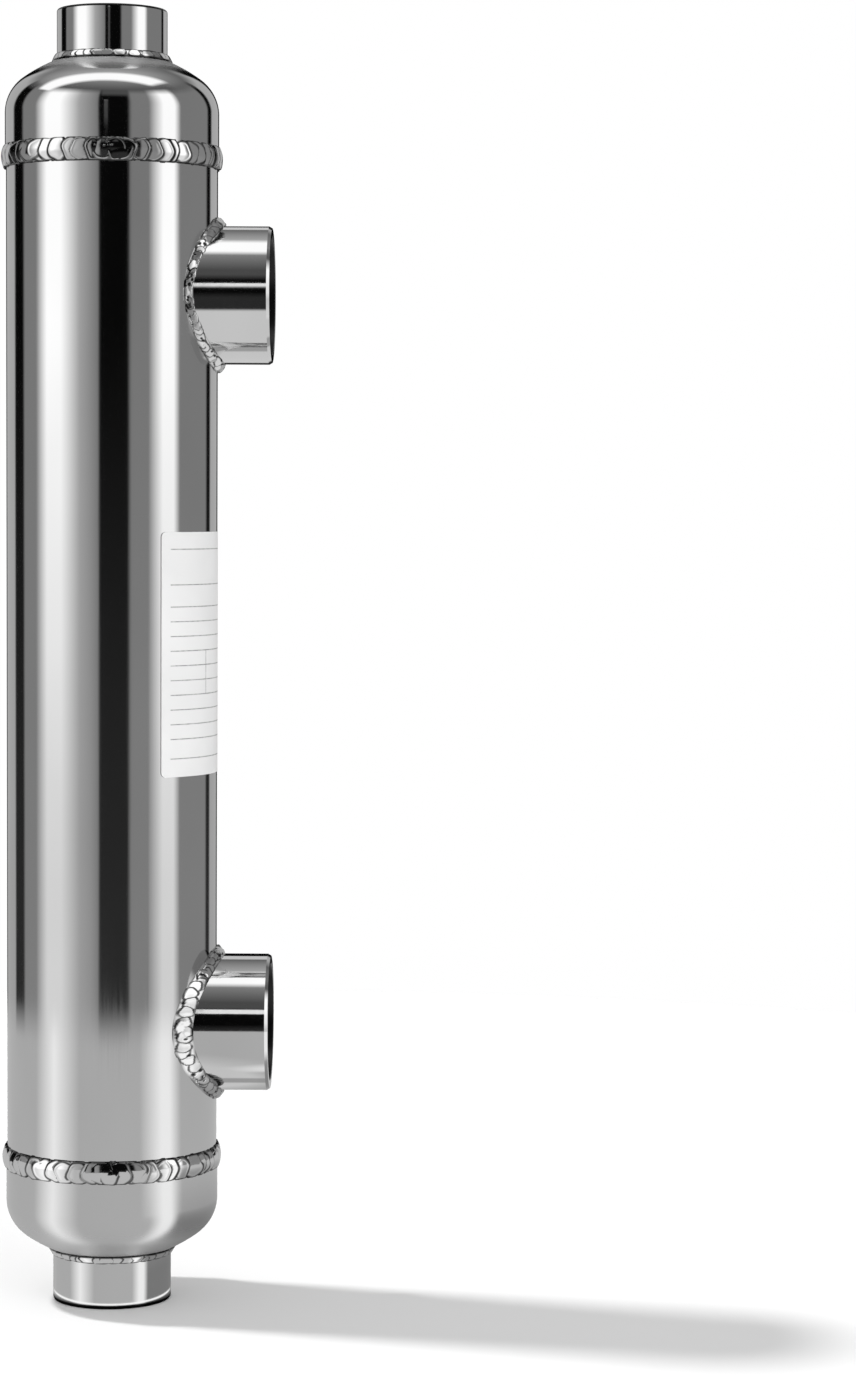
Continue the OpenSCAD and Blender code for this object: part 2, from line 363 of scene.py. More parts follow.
# %% Head outline
DOME_RISE = 18.0 * MM
KNUCKLE_R = 12.0 * MM
HEAD_WALL = 2.0 * MM
END_REACH = 29.5 * MM
top_z = cad_box[1].z
lower_dome_z, upper_dome_z = END_REACH, top_z - END_REACH
HEAD_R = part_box("upper_head")[1].x
KNUCKLE_X = HEAD_R - KNUCKLE_R
CROWN_R = (HEAD_R**2 + DOME_RISE**2 - 2 * HEAD_R * KNUCKLE_R) / (2 * (DOME_RISE - KNUCKLE_R))
CROWN_Z = DOME_RISE - CROWN_R
CROWN_ANGLE = math.atan2(-CROWN_Z, KNUCKLE_X)


def dome_height(radius, wall=0.0):
    return CROWN_Z + math.sqrt((CROWN_R - wall) ** 2 - radius**2)


def head_wall_line(port_r, wall, skirt):
    """Points of one face of the head's wall, from the skirt's edge to the hole for the port."""
    line = [(HEAD_R - wall, -skirt)]
    for i in range(25):
        angle = CROWN_ANGLE * i / 24
        line.append((KNUCKLE_X + (KNUCKLE_R - wall) * math.cos(angle), (KNUCKLE_R - wall) * math.sin(angle)))
    last = math.acos(port_r / (CROWN_R - wall))
    for i in range(1, 17):
        angle = CROWN_ANGLE + (last - CROWN_ANGLE) * i / 16
        line.append(((CROWN_R - wall) * math.cos(angle), CROWN_Z + (CROWN_R - wall) * math.sin(angle)))
    return line


print("crown radius", round(CROWN_R / MM, 2), "mm")

# %% Heads
ENDS = {"upper": (upper_dome_z, 1), "lower": (lower_dome_z, -1)}


def end_point(end, radius, height):
    """A point of an end's outline: radius from the axis, height from where its dome starts."""
    start, way = ENDS[end]
    return (radius, 0, start + way * height)


def end_port_radius(end):
    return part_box(end + "_end_port")[1].x


for end in ENDS:
    low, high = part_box(end + "_head")
    skirt = upper_dome_z - low.z if end == "upper" else high.z - lower_dome_z
    outside = head_wall_line(end_port_radius(end), 0.0, skirt)
    inside = head_wall_line(end_port_radius(end), HEAD_WALL, skirt)
    outline = [end_point(end, r, h) for r, h in outside + inside[::-1]]
    finish_piece(end + "_formed_head", turned(outline, (0, 0, 0), Z_AXIS), head_polish[end],
                 [end + "_head"])

# %% [markdown]
# ## The ports
# End ports are turned sockets on the axis. Their bore is the thread's root, with a shoulder below it. Sharp
# rims would catch no light, so the bevel operator rounds them, as a lathe hand does with a file. A row of
# points just before each rim keeps the round from bending the reflections on the straight part. This round
# and the bore get a near-black metal: painted shade, for the dark line at each rim and the dark port inside.

# %% End ports
END_ROOT_R = 13.2 * MM
END_BORE_R = 12.05 * MM
PORT_INSET = 3.4 * MM
THREAD_STOP = 4.0 * MM
RIM_BEVEL = 0.7 * MM
RIM_ROW = 1.1 * MM


def paint_rim_shade(bm, rim, inside):
    """Give the faces of the outer round at this height the second material, the rim's painted shade."""
    bm.normal_update()
    for face in bm.faces:
        at = face.calc_center_median()
        if abs(at.z - rim) < RIM_BEVEL and math.hypot(at.x, at.y) > inside and abs(face.normal.z) < 0.98:
            face.material_index = 1


def thread_foot(end):
    return dome_height(end_port_radius(end)) - PORT_INSET + THREAD_STOP


for end in ENDS:
    radius = end_port_radius(end)
    foot = dome_height(radius) - PORT_INSET
    outline = [(END_BORE_R, foot), (radius, foot), (radius, END_REACH - RIM_ROW), (radius, END_REACH),
               (END_ROOT_R, END_REACH),
               (END_ROOT_R, thread_foot(end)), (END_BORE_R, thread_foot(end))]
    bm = turned([end_point(end, r, h) for r, h in outline], (0, 0, 0), Z_AXIS)
    start, way = ENDS[end]
    rim = start + way * END_REACH
    soften_ring(bm, Vector(), Z_AXIS, radius, rim, RIM_BEVEL)
    soften_ring(bm, Vector(), Z_AXIS, END_ROOT_R, rim, 0.3 * MM, 2)
    paint_bore_shade(bm, Vector(), Z_AXIS, END_ROOT_R + 0.2 * MM)
    paint_rim_shade(bm, rim, END_ROOT_R + 0.8 * MM)
    finish_piece(end + "_end_socket", bm, turned_polish, [end + "_end_port"], 50.0, painted_shade_metal)

# %% [markdown]
# Side ports are the same kind of socket, but their foot is cut to the round of the shell. The socket is
# turned about a level axis, and then the vertices of its foot are let down until they meet the shell. The
# rim has a slanted chamfer, drawn in the outline and kept crisp, which catches the light as a thin line.

# %% Side ports
side_low, side_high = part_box("upper_side_port")
SIDE_R = (side_high.z - side_low.z) / 2
SIDE_ROOT_R = 16.6 * MM
SIDE_STOP = 1.5 * MM
SIDE_SUNK = 0.3 * MM
SIDE_X = side_high.x
CHAMFER_LONG, CHAMFER_DEEP = 0.85 * MM, 0.5 * MM


def shell_face_x(y):
    return math.sqrt(SHELL_R**2 - y**2)


for height, end in zip(side_heights, ENDS):
    outline = [(0, SIDE_BORE), (0, SIDE_R), (SIDE_X - CHAMFER_LONG, SIDE_R), (SIDE_X, SIDE_R - CHAMFER_DEEP),
               (SIDE_X, SIDE_ROOT_R), (SHELL_R + SIDE_STOP, SIDE_ROOT_R), (SHELL_R + SIDE_STOP, SIDE_BORE)]
    bm = turned([(x, 0, height + r) for x, r in outline], (0, 0, height), X_AXIS)
    for vert in bm.verts:
        if vert.co.x < 1e-6:
            vert.co.x = shell_face_x(vert.co.y) - SIDE_SUNK
    axis_at = Vector((0, 0, height))
    soften_ring(bm, axis_at, X_AXIS, SIDE_ROOT_R, SIDE_X, 0.3 * MM, 2)
    paint_bore_shade(bm, axis_at, X_AXIS, SIDE_ROOT_R + 0.2 * MM)
    finish_piece(end + "_side_socket", bm, turned_polish, [end + "_side_port"], 28.0, painted_shade_metal)

# %% [markdown]
# ## Threads
# Pipe threads are helical ridges. The spin operator can also climb as it turns: a small step along the axis
# for every step of the turn draws a helix. One ridge section is swept this way and then moved into its port.
# The first millimetres behind the rim stay plain, so that a fitting can find its way in.

# %% Threads
TURN_STEPS = 72


def thread_ridge(root_r, crest_r, pitch, length):
    """A helical ridge about Z, from z = 0 up, thinned away over its first and last third of a turn."""
    bm = bmesh.new()
    section = [(root_r + 0.05 * MM, 0.02), (crest_r, 0.42), (crest_r, 0.58), (root_r + 0.05 * MM, 0.98)]
    verts = [bm.verts.new((r, 0, share * pitch)) for r, share in section]
    face = bm.faces.new(verts)
    turns = length / pitch - 1
    steps = round(TURN_STEPS * turns)
    bmesh.ops.spin(bm, geom=[face], cent=(0, 0, 0), axis=Z_AXIS, dvec=(0, 0, pitch / TURN_STEPS),
                   angle=2 * math.pi * steps / TURN_STEPS, steps=steps, use_merge=False, use_duplicate=False)
    bm.verts.ensure_lookup_table()
    for vert in bm.verts:
        around = math.hypot(vert.co.x, vert.co.y)
        climbed = (vert.co.z - pitch / 2) / pitch
        share = max(0.0, min(1.0, (climbed + 0.45) * 3, (turns + 0.45 - climbed) * 3))
        if around < root_r:
            wanted = root_r + (around - root_r) * share
            vert.co.x *= wanted / around
            vert.co.y *= wanted / around
    bmesh.ops.recalc_face_normals(bm, faces=bm.faces[:])
    return bm


END_PITCH, SIDE_PITCH = 1.814 * MM, 2.309 * MM
PLAIN = 1.9 * MM
for end in ENDS:
    start, way = ENDS[end]
    foot = thread_foot(end) + 0.6 * MM
    bm = thread_ridge(END_ROOT_R, END_BORE_R, END_PITCH, END_REACH - PLAIN - foot)
    turn_over = Matrix.Rotation(0.0 if way > 0 else math.pi, 4, "X")
    bmesh.ops.transform(bm, matrix=Matrix.Translation((0, 0, start + way * foot)) @ turn_over, verts=bm.verts[:])
    finish_piece(end + "_end_thread", bm, thread_dull_and_shade)
for height, end in zip(side_heights, ENDS):
    foot = SHELL_R + SIDE_STOP + 0.6 * MM
    bm = thread_ridge(SIDE_ROOT_R, SIDE_BORE, SIDE_PITCH, SIDE_X - PLAIN - foot)
    lay_down = Matrix.Translation((foot, 0, height)) @ Matrix.Rotation(math.pi / 2, 4, "Y")
    bmesh.ops.transform(bm, matrix=lay_down, verts=bm.verts[:])
    finish_piece(end + "_side_thread", bm, thread_dull_and_shade)

# %% [markdown]
# ## How a weld bead looks
# A hand-laid bead is a row of frozen puddles, each overlapping the one before like fallen coins. Bump maps
# can hint at that, but the coins show in the bead's outline, so they are modelled. Each bead starts as a
# plain turned ring; then every vertex asks which coin lies on top at its place and rises with it. The edge
# of a coin that lies on top is also stored, as the crease where the weld metal gets painted shade.

# %% Puddle pattern
LIP = 0.07


def lay_puddles(length, pitch, half_long, half_wide, seed, stray=0.08, tilt=1.0):
    """Puddles along a closed bead, laid from the front (0) round both sides to the back."""
    rng = random.Random(seed)
    puddles = []
    for side in (1, -1):
        at = 0.0 if side > 0 else pitch * rng.uniform(0.6, 0.9)
        while at < length / 2:
            puddles.append({
                "at": side * at, "side": side if at else 0,
                "long": half_long * rng.uniform(0.8, 1.2), "wide": half_wide * rng.uniform(0.88, 1.04),
                "off": half_wide * rng.uniform(-stray, stray), "wave": rng.uniform(0, 2 * math.pi),
                "lean": tilt * rng.uniform(0.08, 0.34), "slope": tilt * rng.uniform(-0.36, 0.36),
                "crease_shade": rng.uniform(0.7, 1.0)})
            at += pitch * rng.uniform(0.5, 1.6)
    return puddles


def puddles_near(puddles, length, along, across):
    """For each puddle at this place: its height, its height without the fall at its edge, and its painted crease shade.
    """
    found = []
    for puddle in puddles:
        ahead = along - puddle["at"]
        if abs(ahead) > length / 2:
            ahead -= math.copysign(length, ahead)
        p = ahead / puddle["long"]
        if abs(p) > 1.2:
            continue
        q = (across - puddle["off"]) / puddle["wide"]
        turn = math.atan2(q, p)
        d = math.hypot(p, q) * (1 + 0.07 * math.sin(3 * turn + puddle["wave"]) + 0.04 * math.sin(5 * turn - puddle["wave"]))
        if d < 1.08:
            flat = 0.84 + 0.14 * (1 - d * d) + puddle["lean"] * puddle["side"] * p
            flat += puddle["slope"] * q * (1 - abs(q) * 0.4) + LIP * math.exp(-((d - 0.78) / 0.08) ** 2)
            fall = min(1.0, max(0.0, (d - 0.88) / 0.14))
            crease_shade = puddle["crease_shade"] * min(1.0, max(0.0, 1.6 - abs(d - 0.94) / 0.11))
            found.append((min(flat, 1.45) * math.sqrt(1 - fall * fall), flat, crease_shade))
    return found


def bead_surface(puddles, length, along, across, low):
    """Height of the bead here (low in the gaps, about 1 on a puddle), and how dark its painted crease shade is."""
    found = puddles_near(puddles, length, along, across)
    best, crease_shade = low, 0.0
    for i, (height, flat, edge) in enumerate(found):
        best = max(best, height)
        under = max([low] + [other[0] for k, other in enumerate(found) if k != i])
        if flat > under - 0.02:
            crease_shade = max(crease_shade, edge)
    return best, crease_shade


print("puddle pattern ready")

# %% [markdown]
# ## Girth welds
# The two wide beads close the joints between shell and heads. Their section is a low arch seated on the
# metal, here with a row of points across it so that the puddles have something to shape.

# %% Girth welds
BEAD_W = 6.8 * MM
BEAD_PROUD = 1.08 * MM
BEAD_ROWS = 35


def girth_bead(end, seed):
    sheet_low, sheet_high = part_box(end + "_tube_sheet")
    middle = (sheet_low.z + sheet_high.z) / 2
    half, length = BEAD_W / 2, 2 * math.pi * SHELL_R
    rows = [middle + half * 1.06 * (2 * i / (BEAD_ROWS - 1) - 1) for i in range(BEAD_ROWS)]
    outline = [(SHELL_R, 0, z) for z in rows]
    outline += [(SHELL_R - 0.6 * MM, 0, rows[-1] - 0.4 * MM), (SHELL_R - 0.6 * MM, 0, rows[0] + 0.4 * MM)]
    bm = turned(outline, (0, 0, 0), Z_AXIS, 900)
    crease_shade_layer = bm.verts.layers.float.new("crease_shade")
    puddles = lay_puddles(length, 3.0 * MM, half * 1.05, half * 1.10, seed)
    for vert in bm.verts:
        around = math.hypot(vert.co.x, vert.co.y)
        if around < SHELL_R - 0.3 * MM:
            continue
        along, across = math.atan2(vert.co.x, -vert.co.y) * SHELL_R, vert.co.z - middle
        edge = half * (0.97 + 0.025 * math.sin(along / (2.1 * MM)) + 0.015 * math.sin(along / (0.8 * MM) + seed))
        share = abs(across) / edge
        low = 0.62 * math.sqrt(max(0.0, 1 - share * share))
        height, crease_shade = bead_surface(puddles, length, along, across, low)
        height = min(height * (1.16 - 0.5 * share * share), 2.2 * math.sqrt(max(0.0, 1 - share * share)))
        # Painted shade in the creases between puddles and along both toes of the bead.
        vert[crease_shade_layer] = max(crease_shade, min(1.0, (share - 0.84) / 0.09))
        wanted = SHELL_R - 0.06 * MM + BEAD_PROUD * height
        vert.co.x *= wanted / around
        vert.co.y *= wanted / around
    finish_piece(end + "_girth_bead", bm, bead_metal, [end + "_girth_weld"], 38.0)


girth_bead("upper", 11)
girth_bead("lower", 23)

# %% [markdown]
# ## Saddle welds
# Where a round port meets a round shell the joint is a saddle curve. The fillet is turned about the port as
# a flat ring first, with its height stored as distance above the shell; each vertex is then let down onto
# the shell and raised again by that distance, so the ring takes the saddle's shape.

# %% Saddle welds
LEG_PORT, LEG_SHELL = 2.6 * MM, 2.8 * MM
LEG_FRONT = {"upper": 1.1 * MM, "lower": 4.0 * MM}
FACE_ROWS = 17
PITS = 34


def saddle_bead(end, height, seed):
    outline = [(-0.6, -0.5 * MM)] + [(i / (FACE_ROWS - 1), 0.0) for i in range(FACE_ROWS)] + [(1.0, -0.7 * MM)]
    bm = turned([(depth, 0, height + SIDE_R + share * MM) for share, depth in outline], (0, 0, height), X_AXIS, 720)
    crease_shade_layer = bm.verts.layers.float.new("crease_shade")
    length = 2 * math.pi * SIDE_R
    puddles = lay_puddles(length, 1.7 * MM, 1.8 * MM, 1.35 * MM, seed, 0.4, 1.8)
    rng = random.Random(seed + 100)
    pits = [(rng.uniform(-0.5, 0.5) * length, rng.uniform(0.2, 0.8), rng.uniform(0.3, 0.6) * MM) for _ in range(PITS)]
    for vert in bm.verts:
        out_y, out_z = vert.co.y, vert.co.z - height
        away = math.hypot(out_y, out_z)
        share, depth = (away - SIDE_R) / MM, vert.co.x
        out_y, out_z = out_y / away, out_z / away
        leg_port, leg_shell = LEG_PORT - 0.5 * MM * out_y**2, LEG_SHELL + (LEG_FRONT[end] - LEG_SHELL) * out_y**2
        lift = depth
        if share > -0.3 and depth > -0.3 * MM:
            along = math.atan2(out_z, -out_y) * SIDE_R
            low = 0.55 * math.sqrt(max(0.0, 1 - (2 * share - 1) ** 2))
            top, crease_shade = bead_surface(puddles, length, along, (2 * share - 1) * 1.7 * MM, low)
            near_toe = min(1.0, 6 * share + 0.1, 6 * (1 - share) + 0.1)
            # Painted shade along the toes, broken up along the bead, and in the pits, which also sink a little.
            broken = 0.5 + 0.5 * math.sin(along / (2.7 * MM) + seed) * math.cos(along / (1.9 * MM))
            toe = broken * min(1.0, (0.17 - min(share, 1 - share)) / 0.08)
            pit = max(1 - math.hypot(along - at, (share - place) * 3.4 * MM) / size for at, place, size in pits)
            vert[crease_shade_layer] = max(crease_shade, toe, min(1.0, 2.5 * pit))
            lift = 0.60 * MM * (top - 0.6 - 0.5 * max(0.0, pit)) * near_toe
        across = SIDE_R - 0.06 * MM + max(share, -0.3) * leg_shell + lift * 0.7
        above = leg_port * (1 - max(share, 0.0)) - 0.06 * MM + lift * 0.7
        vert.co = (shell_face_x(out_y * across) + above, out_y * across, height + out_z * across)
    bmesh.ops.recalc_face_normals(bm, faces=bm.faces[:])
    finish_piece(end + "_saddle_bead", bm, bead_metal, [end + "_saddle_weld"], 38.0)


for height, (end, seed) in zip(side_heights, (("upper", 5), ("lower", 8))):
    saddle_bead(end, height, seed)

# %% [markdown]
# ## Welds round the end ports
# A small bead closes the joint between each end port and its dome. It is turned like the girth welds and
# rippled with smaller puddles.

# %% End port welds
END_LEG_UP, END_LEG_OUT = 1.9 * MM, 1.6 * MM


def end_port_bead(end, seed):
    radius = end_port_radius(end)
    start, way = ENDS[end]
    outline = [(-0.3, -0.5 * MM)] + [(i / 14, 0.0) for i in range(15)] + [(1.0, -0.7 * MM)]
    bm = turned([(radius + share * MM, 0, depth) for share, depth in outline], (0, 0, 0), Z_AXIS, 600)
    crease_shade_layer = bm.verts.layers.float.new("crease_shade")
    length = 2 * math.pi * radius
    puddles = lay_puddles(length, 2.6 * MM, 2.2 * MM, 1.15 * MM, seed)
    for vert in bm.verts:
        away, depth = math.hypot(vert.co.x, vert.co.y), vert.co.z
        share = (away - radius) / MM
        lift = depth
        if share > -0.2 and depth > -0.3 * MM:
            along = math.atan2(vert.co.x, -vert.co.y) * radius
            low = 0.55 * math.sqrt(max(0.0, 1 - (2 * share - 1) ** 2))
            top, crease_shade = bead_surface(puddles, length, along, (2 * share - 1) * 1.1 * MM, low)
            near_toe = min(1.0, 6 * share + 0.1, 6 * (1 - share) + 0.1)
            # Painted shade in the creases between puddles and along both toes.
            vert[crease_shade_layer] = max(crease_shade, min(1.0, (0.27 - min(share, 1 - share)) / 0.12))
            lift = 0.5 * MM * (top - 0.5) * near_toe
        across = radius - 0.06 * MM + max(share, -0.2) * END_LEG_OUT + lift * 0.6
        foot = dome_height(radius + max(share, 0.0) * END_LEG_OUT)
        rise = foot + END_LEG_UP * (1 - max(share, 0.0)) - 0.06 * MM + lift * 0.8
        vert.co = (vert.co.x / away * across, vert.co.y / away * across, start + way * rise)
    bmesh.ops.recalc_face_normals(bm, faces=bm.faces[:])
    finish_piece(end + "_port_bead", bm, bead_metal, [end + "_end_port_weld"], 38.0)


end_port_bead("upper", 31)
end_port_bead("lower", 37)

# %% [markdown]
# ## The tube bundle and its plates
# The bundle shows through the ports: tube ends from above and below, tube sides through the side ports. Each
# tube is turned once in place. Plates keep their solid from the model and only get their metal.

# %% Tubes and plates
TUBE_WALL = 0.8 * MM
for node in sorted(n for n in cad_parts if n.startswith("tube_")):
    low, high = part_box(node)
    centre = Vector(((low.x + high.x) / 2, (low.y + high.y) / 2, 0))
    radius = (high.y - low.y) / 2
    outline = [(radius, low.z), (radius, high.z), (radius - TUBE_WALL, high.z), (radius - TUBE_WALL, low.z)]
    bm = turned([(centre.x + r, centre.y, z) for r, z in outline], centre, Z_AXIS, 48)
    for end_z in (low.z, high.z):
        soften_ring(bm, centre, Z_AXIS, radius, end_z, 0.25 * MM, 2)
    finish_piece("drawn_" + node, bm, tube_metal, [node])
for name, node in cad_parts.items():
    if "sheet" in name or "baffle" in name:
        node.data.materials.clear()
        node.data.materials.append(plate_metal)
print("plates dressed")

# %% [markdown]
# ## The label
# A white vinyl rating label is wrapped round the shell. Its corners are rounded flat on the table: a
# rectangle, a vertex bevel, then many upright cuts so that it can bend. Only then is it rolled onto the
# shell and given its thickness. A map of the flat label is kept for the print.

# %% Label shape
LABEL_W, LABEL_H = 50.0 * MM, 69.0 * MM
LABEL_FROM = math.radians(32.5)
LABEL_GLUE, LABEL_T = 0.1 * MM, 0.2 * MM
label_low, label_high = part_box("rating_label")


def rolled_label():
    bm = bmesh.new()
    corners = [(0, 0), (LABEL_W, 0), (LABEL_W, LABEL_H), (0, LABEL_H)]
    face = bm.faces.new([bm.verts.new((x, 0, z)) for x, z in corners])
    bmesh.ops.bevel(bm, geom=bm.verts[:], offset=1.4 * MM, offset_type="OFFSET", affect="VERTICES",
                    segments=6, profile=0.5, material=-1)
    for i in range(1, 64):
        whole = bm.verts[:] + bm.edges[:] + bm.faces[:]
        bmesh.ops.bisect_plane(bm, geom=whole, plane_co=(LABEL_W * i / 64, 0, 0), plane_no=X_AXIS, dist=1e-7)
    print_map = bm.loops.layers.uv.new("print")
    for flat in bm.faces:
        for loop in flat.loops:
            loop[print_map].uv = (loop.vert.co.x / LABEL_W, loop.vert.co.z / LABEL_H)
    bmesh.ops.recalc_face_normals(bm, faces=bm.faces[:])
    if bm.faces[:][0].normal.y > 0:
        bmesh.ops.reverse_faces(bm, faces=bm.faces[:])
    ring = SHELL_R + LABEL_GLUE
    for vert in bm.verts:
        turn = LABEL_FROM - math.pi / 2 + vert.co.x / SHELL_R
        vert.co = (ring * math.cos(turn), ring * math.sin(turn), label_low.z + vert.co.z)
    bmesh.ops.solidify(bm, geom=bm.faces[:], thickness=-LABEL_T)
    bmesh.ops.recalc_face_normals(bm, faces=bm.faces[:])
    return bm


print("label from", round(label_low.z, 4), "to", round(label_high.z, 4))

# %% [markdown]
# The print is a blank form: thin grey rules only, drawn by comparing the label's own map with a list of
# heights. The film is a little uneven in gloss.

# %% Label finish
RULES = (0.075, 0.155, 0.215, 0.275, 0.335, 0.395, 0.455, 0.515, 0.575, 0.635, 0.695, 0.785, 0.93)
RULE_HALF = 0.0020


def label_vinyl():
    material, tree, shader = fresh_material("label_vinyl")
    place = add_node(tree, "ShaderNodeUVMap", uv_map="print").outputs["UV"]
    split = add_node(tree, "ShaderNodeSeparateXYZ", {"Vector": place})
    u, v = split.outputs["X"], split.outputs["Y"]
    ink = 0.0
    for height in RULES:
        near = add_node(tree, "ShaderNodeMath", {0: v, 1: height, 2: RULE_HALF}, operation="COMPARE").outputs[0]
        ink = math_node(tree, "MAXIMUM", near, ink)
    inside = math_node(tree, "LESS_THAN", math_node(tree, "ABSOLUTE", math_node(tree, "SUBTRACT", u, 0.5)), 0.44)
    column = add_node(tree, "ShaderNodeMath", {0: u, 1: 0.36, 2: 0.0026}, operation="COMPARE").outputs[0]
    upright = math_node(tree, "MULTIPLY", column, math_node(tree, "MULTIPLY",
                        math_node(tree, "GREATER_THAN", v, 0.335), math_node(tree, "LESS_THAN", v, 0.515)))
    ink = math_node(tree, "MAXIMUM", math_node(tree, "MULTIPLY", ink, inside), upright)
    worn = stretched_noise(tree, (1.0, 1.0, 1.0), 700.0)
    ink = math_node(tree, "MULTIPLY", ink, between(tree, worn, 0.3, 0.6, 0.45, 0.8))
    film = between(tree, stretched_noise(tree, (1.0, 1.0, 1.0), 60.0, 2.0), 0.3, 0.7, 0.80, 0.84)
    tone = mix_node(tree, ink, film, 0.12)
    colour = add_node(tree, "ShaderNodeCombineColor", {"Red": tone, "Green": tone, "Blue": tone}).outputs["Color"]
    tree.links.new(colour, shader.inputs["Base Color"])
    tree.links.new(between(tree, worn, 0.3, 0.7, 0.32, 0.46), shader.inputs["Roughness"])
    return material


finish_piece("blank_label", rolled_label(), label_vinyl(), ["rating_label"], 40.0)

# %% [markdown]
# ## Floor and light
# The part stands on a plain pale floor. Polished metal shows whatever is round it, so the studio matters as
# much as the steel: pale flats left and right with dark gaps between, and a soft box overhead. These live in
# the world and are seen only by reflected rays; to the camera the background is simply white.

# %% Floor
FLOOR_R = 0.64
# How the floor looks to the metal, in tones by direction: painted light and painted shade. FLOOR_SPILL is painted light
# under the flats, and FLOOR_SHADE is the part's painted shadow near its foot.
FLOOR_TONE, FLOOR_SPILL, FLOOR_SHADE = 0.55, 1.15, 0.25
FLOOR_FAR = [
    (-85, FLOOR_TONE), (-60, FLOOR_SPILL), (-30, FLOOR_TONE), (35, FLOOR_TONE), (60, FLOOR_SPILL),
    (70, FLOOR_SPILL), (85, FLOOR_TONE)]
FLOOR_NEAR = [
    (-180, FLOOR_SHADE), (-150, FLOOR_TONE), (-85, FLOOR_TONE), (-60, FLOOR_SPILL), (-30, FLOOR_TONE),
    (45, FLOOR_TONE), (60, FLOOR_SPILL), (70, FLOOR_SPILL), (80, FLOOR_SHADE)]
FOOT_R = 17.0 * MM
VIEW_TURN = math.radians(5.4)


def degrees_ramp(tree, angle, stops, span):
    """A ramp over an angle in radians, with its stops in degrees from -span to +span."""
    factor = between(tree, angle, -math.radians(span), math.radians(span), 0.0, 1.0)
    return ramp_node(tree, factor, [((degrees + span) / (2 * span), value) for degrees, value in stops])


def mirror_turn(tree, turn, far):
    """The way a mirror ray travels that meets the floor here, if it left a round foot of radius FOOT_R."""
    near = math_node(tree, "DIVIDE", FOOT_R, far, True)
    way = math_node(tree, "MULTIPLY", turn, math_node(tree, "ADD", near, 1.0))
    for _ in range(2):
        half = math_node(tree, "MULTIPLY", math_node(tree, "SUBTRACT", way, VIEW_TURN), 0.5)
        push = math_node(tree, "ARCSINE", math_node(tree, "MULTIPLY", math_node(tree, "SINE", half), near))
        way = math_node(tree, "ADD", turn, push)
    return way


def floor_finish():
    material, tree, shader = fresh_material("pale_floor")
    shader.inputs["Base Color"].default_value = (0.80, 0.80, 0.80, 1.0)
    shader.inputs["Roughness"].default_value = 0.9
    path = add_node(tree, "ShaderNodeLightPath").outputs
    glow = add_node(tree, "ShaderNodeEmission", {"Strength": math_node(tree, "MULTIPLY", path["Is Camera Ray"], 0.08)})
    seen = add_node(tree, "ShaderNodeAddShader", {0: shader.outputs[0], 1: glow.outputs[0]})
    place = add_node(tree, "ShaderNodeTexCoord").outputs["Object"]
    split = add_node(tree, "ShaderNodeSeparateXYZ", {"Vector": place})
    x, y = split.outputs["X"], split.outputs["Y"]
    turn = math_node(tree, "ARCTAN2", x, math_node(tree, "MULTIPLY", y, -1.0))
    far = add_node(tree, "ShaderNodeVectorMath", {0: place}, operation="LENGTH").outputs["Value"]
    # For reflected rays the floor is an emission of painted light and painted shade; the lamps do not light it.
    way = mirror_turn(tree, turn, far)
    tone = mix_node(tree, between(tree, far, 0.06, 0.22, 0.0, 1.0), degrees_ramp(tree, way, FLOOR_NEAR, 180),
                    degrees_ramp(tree, way, FLOOR_FAR, 180))
    # Steep rays see a paler floor, with a band behind the part darkened as painted shadow.
    steep = between(tree, math_node(tree, "SUBTRACT", path["Ray Length"], far), 0.012, 0.030, 0.0, 1.0)
    behind = math_node(tree, "DIVIDE", y, path["Ray Length"])
    tone = mix_node(tree, steep, tone, mix_node(tree, inside_band(tree, behind, 0.02, 0.30, 0.03), 0.76, 0.44))
    # Painted highlight: a thin bright ring on the floor round the foot, seen by short rays.
    short_ray = between(tree, path["Ray Length"], 0.011, 0.015, 1.0, 0.0)
    edge_light = math_node(tree, "MULTIPLY", inside_band(tree, far, 0.0224, 0.0246, 0.0006), short_ray)
    tone = mix_node(tree, edge_light, tone, 1.3)
    # Painted contact shadow: the floor at the foot, and for very short rays, turns dark.
    painted_contact_shadow = math_node(tree, "MAXIMUM", between(tree, far, 0.0214, 0.0224, 0.01, 1.0),
                        between(tree, path["Ray Length"], 0.004, 0.010, 0.0, 1.0))
    tone = math_node(tree, "MULTIPLY", tone, painted_contact_shadow)
    shown = add_node(tree, "ShaderNodeEmission", {"Strength": tone})
    clear = add_node(tree, "ShaderNodeBsdfTransparent")
    faded = add_node(tree, "ShaderNodeMixShader", {0: between(tree, far, FLOOR_R - 0.11, FLOOR_R, 0.0, 1.0),
                                                   1: shown.outputs[0], 2: clear.outputs[0]})
    both = add_node(tree, "ShaderNodeMixShader", {0: path["Is Glossy Ray"], 1: seen.outputs[0], 2: faded.outputs[0]})
    tree.links.new(both.outputs[0], tree.nodes["Material Output"].inputs["Surface"])
    return material


def studio_floor():
    bm = bmesh.new()
    bmesh.ops.create_circle(bm, cap_ends=True, segments=128, radius=FLOOR_R)
    mesh = bpy.data.meshes.new("studio_floor")
    bm.to_mesh(mesh)
    bm.free()
    mesh.materials.append(floor_finish())
    floor = bpy.data.objects.new("studio_floor", mesh)
    scene.collection.objects.link(floor)


studio_floor()
print("floor ready")

